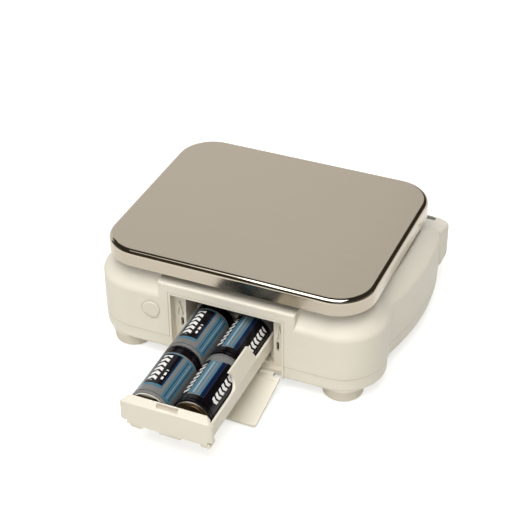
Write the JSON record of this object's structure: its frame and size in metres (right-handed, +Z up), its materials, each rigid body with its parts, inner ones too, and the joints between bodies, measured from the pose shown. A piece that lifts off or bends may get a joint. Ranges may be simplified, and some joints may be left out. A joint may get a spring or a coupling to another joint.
{
  "type": "digital kitchen scale",
  "caption": "Bench kitchen scale with a rounded steel platter, an ivory waisted case, round feet, a sloping display head, and a pull-out battery drawer with a drop door.",
  "frame": {"origin": "middle of the footprint, drawer out, on the table plane", "axes": "+Z up, -Y towards the drawer side, +Y towards the display side, +X to the right seen from the drawer side"},
  "size_m": [0.26, 0.33, 0.1015],
  "materials": {
    "case_plastic": "satin moulded, ivory",
    "bay_plastic": "satin moulded, ivory",
    "drawer_plastic": "satin moulded, ivory",
    "door_plastic": "satin moulded, ivory",
    "platter_steel": "satin brushed, polished edge",
    "pad_rubber": "matt",
    "support_metal": "as cast",
    "beam_aluminium": "machined",
    "bridge_steel": "zinc plated",
    "screw_steel": "zinc plated",
    "pin_steel": "bright",
    "contact_metal": "nickel plated",
    "panel_grey": "satin, blue grey",
    "window_clear": "clear",
    "lcd_glass": "grey green",
    "key_plastic": "satin, light grey",
    "mat_rubber": "matt",
    "board_green": "lacquered board",
    "jack_black": "black moulded",
    "cap_plastic": "soft, ivory",
    "cell_label": "printed film over steel can",
    "foot_rubber": "matt, stone grey"
  },
  "bodies": {
    "base": {"upper_case": "case_plastic", "lower_case": "case_plastic", "battery_bay": "bay_plastic", "door_hinge_pin": "pin_steel", "bay_contacts": "contact_metal", "load_cell": "beam_aluminium", "load_cell_spacer": "beam_aluminium", "load_cell_screws": "screw_steel", "overload_stop": "screw_steel", "load_cell_bridge": "bridge_steel", "bridge_screws": "screw_steel", "bay_screws": "screw_steel", "case_screws": "screw_steel", "foot_screws": "screw_steel", "foot_rear_left": "foot_rubber", "foot_rear_right": "foot_rubber", "foot_front_left": "foot_rubber", "foot_front_right": "foot_rubber", "display_panel": "panel_grey", "display_window": "window_clear", "lcd_module": "lcd_glass", "key_mat": "mat_rubber", "main_board": "board_green", "board_screws": "screw_steel", "dc_jack": "jack_black"},
    "platform": {"platter_support": "support_metal", "support_screws": "screw_steel", "support_spacer": "beam_aluminium", "platter_pads": "pad_rubber"},
    "platter": {"platter": "platter_steel"},
    "drawer": {"battery_drawer": "drawer_plastic", "drawer_front_contact": "contact_metal", "drawer_rear_contacts": "contact_metal", "cell_springs": "contact_metal", "battery_front_left": "cell_label", "battery_rear_left": "cell_label", "battery_front_right": "cell_label", "battery_rear_right": "cell_label"},
    "door": {"battery_door": "door_plastic"},
    "cap": {"jack_cap": "cap_plastic"},
    "tare_button": {"tare_key": "key_plastic"},
    "unit_button": {"unit_key": "key_plastic"},
    "hold_button": {"hold_key": "key_plastic"},
    "power_button": {"power_key": "key_plastic"}
  },
  "joints": [
    {"name": "weighing_deflection", "type": "slide", "parent": "base", "child": "platform", "axis": [0, 0, 1], "range_m": [-0.0006, 0], "stiffness_N_per_m": 98000, "deforming": ["load_cell"]},
    {"name": "platter_lift", "type": "slide", "parent": "platform", "child": "platter", "axis": [0, 0, 1], "range_m": [0, 0.03]},
    {"name": "drawer_slide", "type": "slide", "parent": "base", "child": "drawer", "axis": [0, -1, 0], "range_m": [-0.112, 0.0025]},
    {"name": "door_hinge", "type": "hinge", "parent": "base", "child": "door", "pos_m": [0, -0.0547, 0.0134], "axis": [-1, 0, 0], "range_deg": [-1.9, 13]},
    {"name": "jack_cap_pull", "type": "slide", "parent": "base", "child": "cap", "axis": [0, -1, 0], "range_m": [0, 0.012]},
    {"name": "tare_press", "type": "slide", "parent": "base", "child": "tare_button", "axis": [0, -0.3584, -0.9336], "range_m": [0, 0.0008], "stiffness_N_per_m": 1500},
    {"name": "unit_press", "type": "slide", "parent": "base", "child": "unit_button", "axis": [0, -0.3584, -0.9336], "range_m": [0, 0.0008], "stiffness_N_per_m": 1500},
    {"name": "hold_press", "type": "slide", "parent": "base", "child": "hold_button", "axis": [0, -0.3584, -0.9336], "range_m": [0, 0.0008], "stiffness_N_per_m": 1500},
    {"name": "power_press", "type": "slide", "parent": "base", "child": "power_button", "axis": [0, -0.3584, -0.9336], "range_m": [0, 0.0008], "stiffness_N_per_m": 1500}
  ]
}
